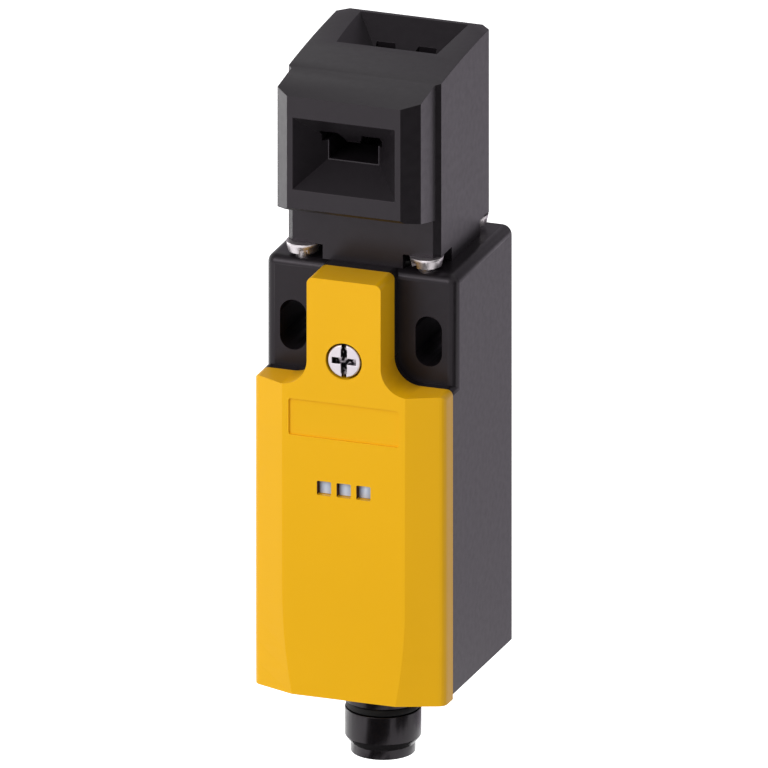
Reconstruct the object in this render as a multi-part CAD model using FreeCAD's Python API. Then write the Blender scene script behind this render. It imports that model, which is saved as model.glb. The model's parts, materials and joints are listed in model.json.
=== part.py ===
"""Tongue interlock switch with a two-way head, a hinged cover and a round plug connector.

Millimetres. Origin: on the back mounting face, midway between the two mounting slots.
+X is to the right seen from the front, +Y points to the back, +Z points up.
"""
import FreeCAD, Part
import math
import os

V = FreeCAD.Vector

# ---------------------------------------------------------------- driving dimensions, mm
# Housing
WIDTH = 31.0              # housing and cover
HEIGHT = 67.2             # housing, bottom to top
TOP = 11.0                # housing top above the mounting slots
DEPTH = 24.7              # back face to shoulder face
PLATEAU = 1.5             # step from the shoulder face out to the cover seam
SHOULDER = 17.8           # housing top down to the step between neck and body
WALL = 2.0                # side, top and back walls round the wiring space
FLOOR = 2.6               # bottom wall
EDGE_R = 1.5              # rounded outer edges at the top
SLOT_SPACING = 22.0       # mounting slots, centre to centre
SLOT_W = 4.3
SLOT_LEN = 8.1
# Cover
SEAM_GAP = 0.05           # cover to housing
COVER_D = 6.2             # seam to front
COVER_WALL = 1.8
COVER_LIP = 0.8           # cover hangs below the housing bottom
BEVEL_W = 5.5             # side bevels of the cover, across
BEVEL_D = 2.75            # and front to back
TAPER_W = 1.6             # front face narrows on each side towards the bottom
TAPER_H = 17.5
NECK_W = 12.0
NECK_R = 4.3              # fillet between neck and body
CORNER_R = 1.0
SCREW_DROP = 13.0         # cover screw below the housing top
SCREW_HEAD_R = 2.7
SCREW_HEAD_H = 1.9
SCREW_CORE_R = 1.6        # drawn at the bottom of its thread
SCREW_LEN = 11.2          # under the front of the head
INSERT_LEN = 6.7
INSERT_END = 1.0
LABEL_W = 17.9            # bare recessed field
LABEL_H = 5.9
LABEL_DROP = 2.2          # below the step of the body
LABEL_DEPTH = 0.35
WINDOW_PITCH = 3.2        # three indicator windows
WINDOW_W = 2.3
WINDOW_Z = 33.2           # above the housing bottom
LENS_RECESS = 1.0
LENS_PLAY = 0.05
GUIDE_RIM = 1.0           # light guide past the outer windows
GUIDE_H = 4.8
GUIDE_T = 1.2
# Hinge at the bottom of the cover
KNUCKLE_R = 0.9
KNUCKLE_LEN = 4.0
KNUCKLE_X = 9.0
HINGE_BACK = 1.15         # axis behind the seam
HINGE_UP = 0.2            # axis above the housing bottom
RUN_FIT = 0.05            # radial play of parts that turn or slide in each other
# Head
HEAD_W = 24.8
HEAD_TOP_FRONT = 29.0     # above the housing top, at the front of the bezel
HEAD_TOP_BACK = 32.0      # and at the back
HEAD_CROWN = 0.6          # rise of the top over a straight line
HEAD_INSET = 0.77         # head front face behind the shoulder face
HEAD_FRONT_CHAMFER = 1.0
HEAD_BACK_CHAMFER = 1.63
BEZEL_W = 23.3
BEZEL_CHAMFER = 2.45
BEZEL_FOOT = 10.9         # lower front edge above the housing top
BEZEL_FOOT_CHAMFER = 0.5
BEZEL_FOOT_SLOPE = 0.25   # underside, falling towards the head
FUNNEL_W = 16.6
FRONT_FUNNEL_H = 11.7
FRONT_FUNNEL_FOOT = 13.9  # lower rim above the housing top
TOP_FUNNEL_D = 12.0
TOP_FUNNEL_BACK = 1.3     # rear rim in front of the back face
FUNNEL_DEPTH = 4.5
TONGUE_W = 8.0            # entry slot: plate of the tongue
TONGUE_T = 3.0
LOBE_W = 9.74             # and its two raised noses
LOBE_T = 1.95
RIB_W = 2.1               # guide rib between the noses
RIB_FLARE = 0.9
MOUTH_FIT = 0.15          # funnel floor round the plate of the tongue
ENTRY_OFFSET = 3.8        # from the cam axis to the near side of the tongue
POCKET_W = 5.9            # open pockets at the four foot corners
POCKET_D = 5.7
POCKET_H = 2.3
CLAMP_PITCH = 20.0        # head screws, square
CLAMP_R = 2.65
CLAMP_TAPER = 0.35
CLAMP_GAP = 0.7           # under the heads of the head screws
CLAMP_SHANK_R = 1.2
CLAMP_DEPTH = 5.0
# Cam and plunger
AXIS_Y = 12.9             # cam axis in front of the back face
AXIS_UP = 14.2            # cam axis above the housing top
DISC_R = 7.6
DISC_IN = 2.0             # locking discs, inner and outer faces from the middle
DISC_OUT = 4.4
CAM_T = 3.0               # middle cam
CAM_HIGH = 7.0            # cam radius at rest
LIFT_PER_RAD = 4.0        # plunger travel per radian of cam turn
CAM_SWEEP = 60.0          # degrees
CAM_STEPS = 12            # flats of the spiral
NOTCH_W = 5.0
AXLE_R = 1.25
HUB_R = 2.55
PLUNGER_R = 1.7
PLUNGER_FOOT = 1.0        # plunger end below the tunnel
COLLAR_R = 3.5
COLLAR_T = 1.4
PLUNGER_SPRING_R = 2.75
PLUNGER_SPRING_WIRE = 0.35
PLUNGER_SPRING_H = 6.5
TUNNEL_R = 4.0
SEAT_T = 3.2              # ledge under the plunger spring
BUSH_R = 3.0
# Contact block
BLOCK_SIDE = 2.0          # room beside the block for the wires
BLOCK_H = 30.5
BLOCK_D = 18.8
BLOCK_DROP = 4.8          # below the roof of the wiring space
BLOCK_WALL = 3.0          # above and below the contact chamber
CHAMBER_WALL = 0.3        # between the chamber and the terminal screws
CAP_T = 1.6
STEM_W = 4.0
TAIL_R = 1.4
TAIL_LEN = 2.6            # under the block
STEM_GAP = 0.3            # carrier shoulder under the roof at full travel
BRIDGE_END = 1.2          # from the end of a bridge to the chamber side
BRIDGE_D = 3.0
BRIDGE_T = 0.8
STRIP_T = 0.8
STRIP_D = 4.0
TIP_R = 1.0
TIP_H = 0.45
TIP_IN = 1.3              # from the end of a bridge
AUX_DROP = 8.1            # top of the block down to the upper bridge
SAFE_RISE = 11.3          # foot of the block up to the lower bridge
CONTACT_SPRING_H = 3.4
CONTACT_SPRING_R = 1.05
CONTACT_SPRING_WIRE = 0.2
CARRIER_SPRING_H = 3.2
CARRIER_SPRING_R = 1.95
CARRIER_SPRING_WIRE = 0.25
TERMINAL_IN = 2.0         # from the side of the block to the terminal screws
TERMINAL_R = 1.5
TERMINAL_LEN = 5.6        # in the block
TERMINAL_HEAD_R = 2.1
TERMINAL_HEAD_T = 1.4
CLAMP_PLATE = 4.4
BLOCK_SCREW_R = 1.25
BLOCK_SCREW_TIP_R = 1.0
BLOCK_SCREW_TIP = 1.2     # in the back wall of the housing
BLOCK_SCREW_HEAD_R = 2.2
BLOCK_SCREW_HEAD_T = 1.3
BLOCK_SCREW_UP = 3.2      # above the foot of the block
# Indicator board
BOARD_SIDE = 1.1          # from the side of the board to the terminal clamps
BOARD_H = 8.4
BOARD_T = 0.8
BOARD_GAP = 5.5           # in front of the contact block
POST_R = 1.2
POST_IN = 1.4             # from the edges of the board
LED_W = 1.6
LED_T = 0.7
# Connector
PLUG_Y = 14.8             # connector axis in front of the back face
PLUG_COLLAR_R = 5.95
PLUG_COLLAR = 6.3         # length below the housing
PLUG_GROOVE = 1.26
PLUG_RING_R = 5.86
PLUG_RING = 4.48
PLUG_CONE = 1.16
PLUG_NOSE_R = 4.96
PLUG_NOSE = 1.55
PLUG_BORE_R = 4.2
PLUG_NECK_R = 5.5         # in the housing floor and nut
NUT_AF = 13.0
NUT_T = 2.4
PLUG_BACK = 0.8           # connector body past its nut
PIN_BACK = 1.2            # pins past the connector body
PIN_R = 0.5
PIN_CIRCLE_R = 2.75
PINS = 5
WIRE_R = 0.6
COIL_STEPS = 8            # straight pieces per turn of a spring
SEAL_W = 0.9
SEAL_DEPTH = 0.8

# ---------------------------------------------------------------- derived places
HALF = WIDTH / 2
BOTTOM = TOP - HEIGHT
STEP_Z = TOP - SHOULDER                     # top of the wide part of the cover
FACE_Y = -DEPTH                             # shoulder face
PLANE_Y = -(DEPTH + PLATEAU)                # sealing plane of the housing
SEAM_Y = PLANE_Y - SEAM_GAP
FRONT_Y = SEAM_Y - COVER_D
COVER_Z = BOTTOM - COVER_LIP
ROOF_Z = STEP_Z - WALL                      # wiring space
CAVITY_Z = BOTTOM + FLOOR
CAVITY_X = HALF - WALL
CAM_Y = -AXIS_Y
CAM_Z = TOP + AXIS_UP
LIFT = LIFT_PER_RAD * math.radians(CAM_SWEEP)
HINGE_Y = SEAM_Y + HINGE_BACK
HINGE_Z = BOTTOM + HINGE_UP
SCREW_Z = TOP - SCREW_DROP
BLOCK_W = 2 * (CAVITY_X - BLOCK_SIDE)
BLOCK_TOP = ROOF_Z - BLOCK_DROP
BLOCK_FOOT = BLOCK_TOP - BLOCK_H
BLOCK_BACK = -WALL
BLOCK_FRONT = BLOCK_BACK - BLOCK_D
TERMINAL_X = BLOCK_W / 2 - TERMINAL_IN
CHAMBER_W = 2 * (TERMINAL_X - TERMINAL_R - CHAMBER_WALL)
CHAMBER_TOP = BLOCK_TOP - BLOCK_WALL
CHAMBER_FOOT = BLOCK_FOOT + BLOCK_WALL
BRIDGE_W = CHAMBER_W - 2 * BRIDGE_END
AUX_Z = BLOCK_TOP - AUX_DROP                # top faces of the bridges at rest
SAFE_Z = BLOCK_FOOT + SAFE_RISE
PLUG_CY = -PLUG_Y
BOARD_BACK = BLOCK_FRONT - BOARD_GAP
BOARD_W = 2 * (TERMINAL_X - CLAMP_PLATE / 2 - BOARD_SIDE)
LED_Z = BOTTOM + WINDOW_Z
HEAD_FRONT = FACE_Y + HEAD_INSET


# ---------------------------------------------------------------- helpers
def point(plane, u, v, at):
    """Point (u, v) of a plane XY, XZ or YZ that stands at distance `at` from the origin."""
    return {"XY": V(u, v, at), "XZ": V(u, at, v), "YZ": V(at, u, v)}[plane]


def outline(corners, plane, at):
    """Closed wire through corners (u, v) or (u, v, r); r rounds the corner."""
    ends = []
    for i, corner in enumerate(corners):
        here = V(corner[0], corner[1], 0)
        r = corner[2] if len(corner) > 2 else 0.0
        if r <= 0:
            ends.append((here, None, here))
            continue
        before = V(*corners[i - 1][:2], 0) - here
        after = V(*corners[(i + 1) % len(corners)][:2], 0) - here
        before.normalize()
        after.normalize()
        half = before.getAngle(after) / 2
        middle = before + after
        middle.normalize()
        cut = r / math.tan(half)
        ends.append((here + before * cut, here + middle * (r / math.sin(half) - r),
                     here + after * cut))
    edges = []
    for i, (start, mid, end) in enumerate(ends):
        a, b = point(plane, start.x, start.y, at), point(plane, end.x, end.y, at)
        if mid is not None:
            edges.append(Part.Arc(a, point(plane, mid.x, mid.y, at), b).toShape())
        following = ends[(i + 1) % len(ends)][0]
        if (following - end).Length > 1e-6:
            edges.append(Part.makeLine(b, point(plane, following.x, following.y, at)))
    return Part.Wire(edges)


def prism(corners, plane, start, end):
    """Solid with the outline as its section, from `start` to `end` along the normal."""
    normal = point(plane, 0, 0, 1)
    return Part.Face(outline(corners, plane, start)).extrude(normal * (end - start))


def rectangle(u0, u1, v0, v1, r=0.0):
    return [(u0, v0, r), (u1, v0, r), (u1, v1, r), (u0, v1, r)]


def corners_of(u0, u1, v0, v1, plane, at):
    return [point(plane, u, v, at) for u, v in ((u0, v0), (u1, v0), (u1, v1), (u0, v1))]


def box(x0, x1, y0, y1, z0, z1, r=0.0):
    """Block between the given limits; r rounds its upright edges."""
    return prism(rectangle(x0, x1, y0, y1, r), "XY", z0, z1)


def rod(r, start, end):
    start, end = V(*start), V(*end)
    return Part.makeCylinder(r, (end - start).Length, start, end - start)


def turned(profile, x, y):
    """Solid of revolution about the upright line at (x, y); profile is (radius, z)."""
    solid = Part.Face(outline(profile, "XZ", 0)).revolve(V(0, 0, 0), V(0, 0, 1), 360)
    solid.translate(V(x, y, 0))
    return solid


def turned_y(profile, x, z):
    """Solid of revolution about the front-to-back line at (x, z); profile is (radius, y)."""
    solid = Part.Face(outline(profile, "XY", 0)).revolve(V(0, 0, 0), V(0, 1, 0), 360)
    solid.translate(V(x, 0, z))
    return solid


def joined(*solids):
    whole = solids[0].fuse(list(solids[1:])) if len(solids) > 1 else solids[0]
    return whole.removeSplitter()


def mirrored(solid):
    return solid.mirror(V(0, 0, 0), V(1, 0, 0))


def eased(solid, r, chosen):
    """Round the edges for which chosen(box of the edge) is true."""
    return solid.makeFillet(r, [e for e in solid.Edges if chosen(e.BoundBox)])


def near(value, target):
    return abs(value - target) < 0.02


def skin(rings):
    """Flat-faced solid through successive closed rings of points."""
    count = len(rings[0])
    faces = [Part.Face(Part.makePolygon(ring + ring[:1])) for ring in (rings[0], rings[-1])]
    for low, high in zip(rings, rings[1:]):
        for i in range(count):
            a, b, c, d = low[i], low[(i + 1) % count], high[(i + 1) % count], high[i]
            faces += [Part.Face(Part.makePolygon([a, b, c, a])),
                      Part.Face(Part.makePolygon([a, c, d, a]))]
    solid = Part.makeSolid(Part.makeShell(faces))
    if solid.Volume < 0:
        solid.reverse()
    return solid.removeSplitter()


def coil(r, wire, z0, z1, turns, x, y):
    """Compression spring standing on z0; r is the middle radius of the coil."""
    half = wire * math.sqrt(math.pi) / 2
    steps = turns * COIL_STEPS
    rings = []
    for i in range(steps + 1):
        a = 2 * math.pi * i / COIL_STEPS
        z = z0 + half + (z1 - z0 - 2 * half) * i / steps
        rings.append([V(x + (r + u) * math.cos(a), y + (r + u) * math.sin(a), z + v)
                      for u, v in ((-half, -half), (half, -half), (half, half), (-half, half))])
    return skin(rings)


def tube_path(points, r):
    """Six-sided wire along the line through the points."""
    line = [V(*p) for p in points]
    runs = [(b - a).normalize() for a, b in zip(line, line[1:])]
    rings = []
    side = runs[0].cross(V(0, 0, 1))
    for centre, before, after in zip(line, runs[:1] + runs, runs + runs[-1:]):
        along = before + after
        other = along.cross(side).normalize()
        side = other.cross(along).normalize()
        rings.append([centre + side * (r * math.cos(a)) + other * (r * math.sin(a))
                      for a in [math.radians(60 * k) for k in range(6)]])
    return skin(rings)


# ---------------------------------------------------------------- housing and its fixings
def front_shape(bottom, inset):
    """Front view of the wide part with its neck, as corners in X and Z."""
    w, neck, step, top = HALF - inset, NECK_W / 2 - inset, STEP_Z - inset, TOP - inset
    fillet = NECK_R + inset
    return [(-w, bottom), (w, bottom), (w, step, CORNER_R), (neck, step, fillet),
            (neck, top, CORNER_R), (-neck, top, CORNER_R), (-neck, step, fillet),
            (-w, step, CORNER_R)]


def seal_track(offset):
    """Rounded rectangle round the wiring space, `offset` out from its edge."""
    return rectangle(-CAVITY_X - offset, CAVITY_X + offset, CAVITY_Z - offset,
                     ROOF_Z + offset, 1.0 + offset)


def seal_ring(y0, y1):
    lip = (WALL - SEAL_W) / 2
    return prism(seal_track(lip + SEAL_W), "XZ", y0, y1).cut(
        prism(seal_track(lip), "XZ", y0, y1))


def slot_hole(x):
    low, high = -SLOT_LEN / 2, SLOT_LEN / 2
    return prism(rectangle(x - SLOT_W / 2, x + SLOT_W / 2, low, high, SLOT_W / 2 - 0.001),
                 "XZ", 1, FACE_Y - 1)


def hinge_socket(side):
    """Room for one knuckle of the cover, open to the front and below."""
    x = side * KNUCKLE_X
    reach = KNUCKLE_LEN / 2 + 0.4
    bore = rod(KNUCKLE_R + RUN_FIT, (x - reach, HINGE_Y, HINGE_Z), (x + reach, HINGE_Y, HINGE_Z))
    mouth = box(x - reach, x + reach, PLANE_Y - 1, HINGE_Y, BOTTOM - 1, HINGE_Z + 0.1)
    return bore.fuse(mouth)


def housing():
    body = prism([(-HALF, BOTTOM), (HALF, BOTTOM), (HALF, TOP, EDGE_R), (-HALF, TOP, EDGE_R)],
                 "XZ", FACE_Y, 0)
    body = eased(body, EDGE_R, lambda b: near(b.ZMin, TOP) and near(b.YMax, FACE_Y))
    step = prism(front_shape(BOTTOM, 0), "XZ", FACE_Y + EDGE_R, PLANE_Y)
    body = joined(body, step.common(box(-HALF, HALF, PLANE_Y, FACE_Y + EDGE_R, BOTTOM, STEP_Z)),
                  step.common(box(-HALF, HALF, PLANE_Y, FACE_Y + EDGE_R, STEP_Z - 1, TOP)))
    space = prism(seal_track(0), "XZ", PLANE_Y - 1, -WALL)
    tunnel = rod(TUNNEL_R, (0, CAM_Y, ROOF_Z + SEAT_T), (0, CAM_Y, TOP + 1))
    passage = rod(PLUNGER_R + 0.5, (0, CAM_Y, ROOF_Z - 1), (0, CAM_Y, TOP))
    insert = rod(BUSH_R, (0, PLANE_Y - 1, SCREW_Z), (0, PLANE_Y + INSERT_LEN, SCREW_Z))
    plug = rod(PLUG_NECK_R, (0, PLUG_CY, BOTTOM - 1), (0, PLUG_CY, CAVITY_Z + 1))
    cuts = [space, tunnel, passage, insert, plug, seal_ring(PLANE_Y - 1, PLANE_Y + SEAL_DEPTH),
            slot_hole(-SLOT_SPACING / 2), slot_hole(SLOT_SPACING / 2),
            hinge_socket(-1), hinge_socket(1)]
    for x, y in clamp_places():
        cuts.append(rod(CLAMP_SHANK_R, (x, y, TOP - CLAMP_DEPTH), (x, y, TOP + 1)))
    for x, z in block_screw_places():
        cuts.append(rod(BLOCK_SCREW_TIP_R, (x, BLOCK_SCREW_TIP - WALL, z), (x, -WALL - 1, z)))
    return body.cut(cuts)


def cover_seal():
    return seal_ring(PLANE_Y + 0.3, PLANE_Y + SEAL_DEPTH)


def cover_insert():
    back = PLANE_Y + INSERT_LEN
    body = rod(BUSH_R, (0, PLANE_Y, SCREW_Z), (0, back, SCREW_Z))
    bore = rod(SCREW_CORE_R + 0.4, (0, PLANE_Y - 1, SCREW_Z), (0, back - INSERT_END, SCREW_Z))
    groove = turned_y([(BUSH_R - 0.5, PLANE_Y + 2.6), (BUSH_R + 1, PLANE_Y + 2.6),
                       (BUSH_R + 1, PLANE_Y + 3.6), (BUSH_R - 0.5, PLANE_Y + 3.6)], 0, SCREW_Z)
    return body.cut([bore, groove])


# ---------------------------------------------------------------- cover
def cover_section(z, narrow, inset):
    """Horizontal section of the cover at height z, `narrow` less wide across its front."""
    w, front, side = HALF - inset, FRONT_Y + inset, FRONT_Y + BEVEL_D + inset * 0.6
    flat = HALF - BEVEL_W - narrow - inset * 0.45
    lean = math.atan2(side - front, w - flat)
    turn = math.pi / 2 - lean
    r = EDGE_R
    cut = r * math.tan(turn / 2)
    rounded = [(w - r + r * math.cos(a), side + cut - r * math.sin(a))
               for a in [turn * i / 4 for i in range(5)]]
    right = [(w, SEAM_Y)] + rounded + [(flat, front)]
    return [V(x, y, z) for x, y in right + [(-x, y) for x, y in reversed(right)]]


def cover_blank():
    start = COVER_Z + TAPER_H
    steps = 5
    rings = [cover_section(start - TAPER_H * i / steps, TAPER_W * (i / steps) ** 2, 0)
             for i in range(steps, -1, -1)]
    blank = skin(rings + [cover_section(TOP, 0, 0)])
    return blank.common(prism(front_shape(COVER_Z, 0), "XZ", SEAM_Y, FRONT_Y))


def knuckle(side):
    x = side * KNUCKLE_X
    low, high = x - KNUCKLE_LEN / 2, x + KNUCKLE_LEN / 2
    pin = rod(KNUCKLE_R, (low, HINGE_Y, HINGE_Z), (high, HINGE_Y, HINGE_Z))
    arm = box(low, high, SEAM_Y - 1, HINGE_Y, HINGE_Z - KNUCKLE_R, HINGE_Z)
    return pin.fuse(arm)


def window_places():
    return [-WINDOW_PITCH, 0.0, WINDOW_PITCH]


def cover():
    inner = skin([cover_section(z, 0.6, COVER_WALL) for z in (COVER_Z + COVER_WALL, TOP)])
    inner = inner.common(prism(front_shape(COVER_Z + COVER_WALL, COVER_WALL), "XZ",
                               SEAM_Y + 1, FRONT_Y))
    boss = rod(NECK_W / 2 - 1.2, (0, FRONT_Y + 1, SCREW_Z), (0, FRONT_Y + 3.8, SCREW_Z))
    shell = joined(cover_blank().cut(inner), boss, knuckle(-1), knuckle(1))
    label_top = STEP_Z - LABEL_DROP
    field = prism(rectangle(-LABEL_W / 2, LABEL_W / 2, label_top - LABEL_H, label_top, 0.4),
                  "XZ", FRONT_Y - 1, FRONT_Y + LABEL_DEPTH)
    cuts = [field,
            rod(SCREW_HEAD_R + 0.25, (0, FRONT_Y - 1, SCREW_Z),
                (0, FRONT_Y + SCREW_HEAD_H + 0.1, SCREW_Z)),
            rod(SCREW_CORE_R + 0.05, (0, FRONT_Y, SCREW_Z), (0, SEAM_Y, SCREW_Z))]
    for x in window_places():
        cuts.append(prism(rectangle(x - WINDOW_W / 2, x + WINDOW_W / 2, LED_Z - WINDOW_W / 2,
                                    LED_Z + WINDOW_W / 2, 0.2), "XZ", FRONT_Y - 1, SEAM_Y))
    return shell.cut(cuts)


def cover_screw():
    front = FRONT_Y + 0.1
    head_back = front + SCREW_HEAD_H
    body = turned_y([(0, front), (SCREW_HEAD_R - 0.2, front), (SCREW_HEAD_R, front + 0.2),
                     (SCREW_HEAD_R, head_back), (SCREW_CORE_R, head_back),
                     (SCREW_CORE_R, front + SCREW_LEN - 0.5),
                     (SCREW_CORE_R - 0.5, front + SCREW_LEN), (0, front + SCREW_LEN)], 0, SCREW_Z)
    deep = front + 0.9
    slot = box(-0.38, 0.38, front - 1, deep, SCREW_Z - 4, SCREW_Z + 4)
    cross = box(-1.95, 1.95, front - 1, deep + 0.2, SCREW_Z - 0.5, SCREW_Z + 0.5).fuse(
        box(-0.5, 0.5, front - 1, deep + 0.2, SCREW_Z - 1.95, SCREW_Z + 1.95))
    groove = turned_y([(SCREW_CORE_R - 0.4, FRONT_Y + 3.8), (SCREW_CORE_R + 1, FRONT_Y + 3.8),
                       (SCREW_CORE_R + 1, FRONT_Y + 4.5), (SCREW_CORE_R - 0.4, FRONT_Y + 4.5)],
                      0, SCREW_Z)
    return body.cut([slot, cross, groove])


def screw_ring():
    ring = turned_y([(SCREW_CORE_R - 0.4, FRONT_Y + 3.8), (SCREW_CORE_R + 1.4, FRONT_Y + 3.8),
                     (SCREW_CORE_R + 1.4, FRONT_Y + 4.5), (SCREW_CORE_R - 0.4, FRONT_Y + 4.5)],
                    0, SCREW_Z)
    return ring.cut(box(-0.9, 0.9, FRONT_Y + 3, FRONT_Y + 5, SCREW_Z - 5, SCREW_Z - 0.8))


def light_guide():
    back = FRONT_Y + COVER_WALL
    half, high = WINDOW_PITCH + WINDOW_W / 2 + GUIDE_RIM, GUIDE_H / 2
    plate = prism(rectangle(-half, half, LED_Z - high, LED_Z + high, GUIDE_RIM * 0.8), "XZ",
                  back, back + GUIDE_T)
    reach = WINDOW_W / 2 - LENS_PLAY
    lugs = [prism(rectangle(x - reach, x + reach, LED_Z - reach, LED_Z + reach, 0.2), "XZ",
                  FRONT_Y + LENS_RECESS, back + GUIDE_T / 2) for x in window_places()]
    return joined(plate, *lugs)


# ---------------------------------------------------------------- head
def slot_corners(base):
    """Section of a tongue with two noses; v runs from its flat side at `base`."""
    shelf, tip = base + TONGUE_T, base + TONGUE_T + LOBE_T
    plate, lobe, rib = TONGUE_W / 2, LOBE_W / 2, RIB_W / 2
    right = [(plate, base), (plate, shelf), (lobe, shelf), (lobe, tip), (rib + RIB_FLARE, tip),
             (rib, shelf + 0.1)]
    return right + [(-u, v) for u, v in reversed(right)]


def clamp_places():
    reach = CLAMP_PITCH / 2
    return [(x, CAM_Y + y) for y in (-reach, reach) for x in (-reach, reach)]


def head_plan(half, front, back, front_cut, back_cut):
    return [(-half, front + front_cut), (-half + front_cut, front), (half - front_cut, front),
            (half, front + front_cut), (half, back - back_cut), (half - back_cut, back),
            (-half + back_cut, back), (-half, back - back_cut)]


def head_room():
    """Everything under the curved top of the head, as one wide solid."""
    front, back = TOP + HEAD_TOP_FRONT, TOP + HEAD_TOP_BACK
    a, b = V(-HEAD_W, FRONT_Y, front), V(-HEAD_W, 0, back)
    middle = V(-HEAD_W, FRONT_Y / 2, (front + back) / 2 + HEAD_CROWN)
    c, d = V(-HEAD_W, 0, TOP), V(-HEAD_W, FRONT_Y, TOP)
    wire = Part.Wire([Part.Arc(a, middle, b).toShape(), Part.makeLine(b, c),
                      Part.makeLine(c, d), Part.makeLine(d, a)])
    return Part.Face(wire).extrude(V(2 * HEAD_W, 0, 0))


def funnel(rim, floor, plane, rim_at, floor_at):
    """Tapered mouth between two rectangles (u0, u1, v0, v1), carried on past its rim."""
    more = 1.0 / abs(rim_at - floor_at)
    outer = [r + (r - f) * more for r, f in zip(rim, floor)]
    past = rim_at + (rim_at - floor_at) * more
    return skin([corners_of(*outer, plane, past), corners_of(*floor, plane, floor_at)])


def under_bezel():
    """Room below the bezel: a small front chamfer, then a slope down to the head."""
    edge, c, back = TOP + BEZEL_FOOT, BEZEL_FOOT_CHAMFER, HEAD_FRONT + 3
    root = edge - c - BEZEL_FOOT_SLOPE * (back - FRONT_Y - c)
    return prism([(FRONT_Y - 1, edge + 1), (FRONT_Y + c, edge - c), (back, root), (back, TOP),
                  (FRONT_Y - 1, TOP)], "YZ", -HEAD_W, HEAD_W)


def head_body():
    body = prism(head_plan(HEAD_W / 2, HEAD_FRONT, 0, HEAD_FRONT_CHAMFER, HEAD_BACK_CHAMFER),
                 "XY", TOP, TOP + HEAD_TOP_BACK + 2)
    bezel = prism(head_plan(BEZEL_W / 2, FRONT_Y, HEAD_FRONT + 2, BEZEL_CHAMFER, 0.5),
                  "XY", TOP + POCKET_H, TOP + HEAD_TOP_BACK + 2)
    shape = joined(body, bezel.cut(under_bezel())).common(head_room())
    half = HEAD_W / 2
    entry_z, entry_y = CAM_Z + ENTRY_OFFSET, CAM_Y + ENTRY_OFFSET
    thick = TONGUE_T + LOBE_T
    side, mouth = LOBE_W / 2 + 0.3, TONGUE_W / 2 + MOUTH_FIT
    front_floor, top_floor = FRONT_Y + FUNNEL_DEPTH, TOP + HEAD_TOP_BACK - FUNNEL_DEPTH - 0.4
    reach = DISC_R + 0.5
    cheek = DISC_OUT + 1.35
    foot = TOP + FRONT_FUNNEL_FOOT
    rear = -TOP_FUNNEL_BACK
    cuts = [
        funnel((-FUNNEL_W / 2, FUNNEL_W / 2, foot, foot + FRONT_FUNNEL_H),
               (-mouth, mouth, entry_z - MOUTH_FIT, entry_z + TONGUE_T + MOUTH_FIT), "XZ",
               FRONT_Y, front_floor),
        funnel((-FUNNEL_W / 2, FUNNEL_W / 2, rear - TOP_FUNNEL_D, rear),
               (-mouth, mouth, entry_y - MOUTH_FIT, entry_y + TONGUE_T + MOUTH_FIT), "XY",
               TOP + HEAD_TOP_BACK - 0.5, top_floor),
        prism(slot_corners(entry_z), "XZ", FRONT_Y + 1, CAM_Y),
        prism(slot_corners(entry_y), "XY", CAM_Z, TOP + HEAD_TOP_BACK - 1.5),
        rod(reach, (-cheek, CAM_Y, CAM_Z), (cheek, CAM_Y, CAM_Z)),
        box(-cheek, cheek, CAM_Y - reach, CAM_Y + reach, TOP - 1, CAM_Z),
        box(-side, side, CAM_Y, CAM_Y + reach, entry_z - 0.2, entry_z + thick + 0.2),
        box(-side, side, entry_y - 0.2, entry_y + thick + 0.2, CAM_Z - DISC_R, CAM_Z + reach)]
    for x in (-1, 1):
        low, high = sorted((x * (half - POCKET_W), x * (half + 1)))
        cuts.append(box(low, high, HEAD_FRONT - 1, HEAD_FRONT + POCKET_D, TOP - 1, TOP + POCKET_H))
        cuts.append(box(low, high, -POCKET_D, 1, TOP - 1, TOP + POCKET_H))
    cuts.append(seal_groove())
    return shape.cut(cuts)


def seal_groove():
    """Ring under the head, outside the cam shaft."""
    hw, hd = DISC_OUT + 2.0, DISC_R + 1.2
    return box(-hw - 1.0, hw + 1.0, CAM_Y - hd - 1.0, CAM_Y + hd + 1.0, TOP - 1, TOP + 0.8,
               1.5).cut(box(-hw, hw, CAM_Y - hd, CAM_Y + hd, TOP - 1, TOP + 0.8, 0.5))


def head_seal():
    return seal_groove().common(box(-HALF, HALF, -DEPTH, 0, TOP, TOP + 0.8))


def clamp_screw(x, y, turn):
    """Screw whose tapered head stands in an open foot pocket; its shank goes down."""
    low, high = TOP + CLAMP_GAP, TOP + POCKET_H
    tip, foot = CLAMP_R - CLAMP_TAPER, TOP - CLAMP_DEPTH
    body = turned([(0, foot), (CLAMP_SHANK_R - 0.4, foot), (CLAMP_SHANK_R, foot + 0.4),
                   (CLAMP_SHANK_R, low), (tip, low), (CLAMP_R, high), (0, high)], 0, 0)
    slot = box(-0.6, 0.6, -4, 4, low - 1, low + 0.75)
    slot = slot.cut(rod(CLAMP_SHANK_R + 0.2, (0, 0, low - 2), (0, 0, low + 2)))
    slot.rotate(V(0, 0, 0), V(0, 0, 1), turn)
    body = body.cut(slot)
    body.translate(V(x, y, 0))
    return body


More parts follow.
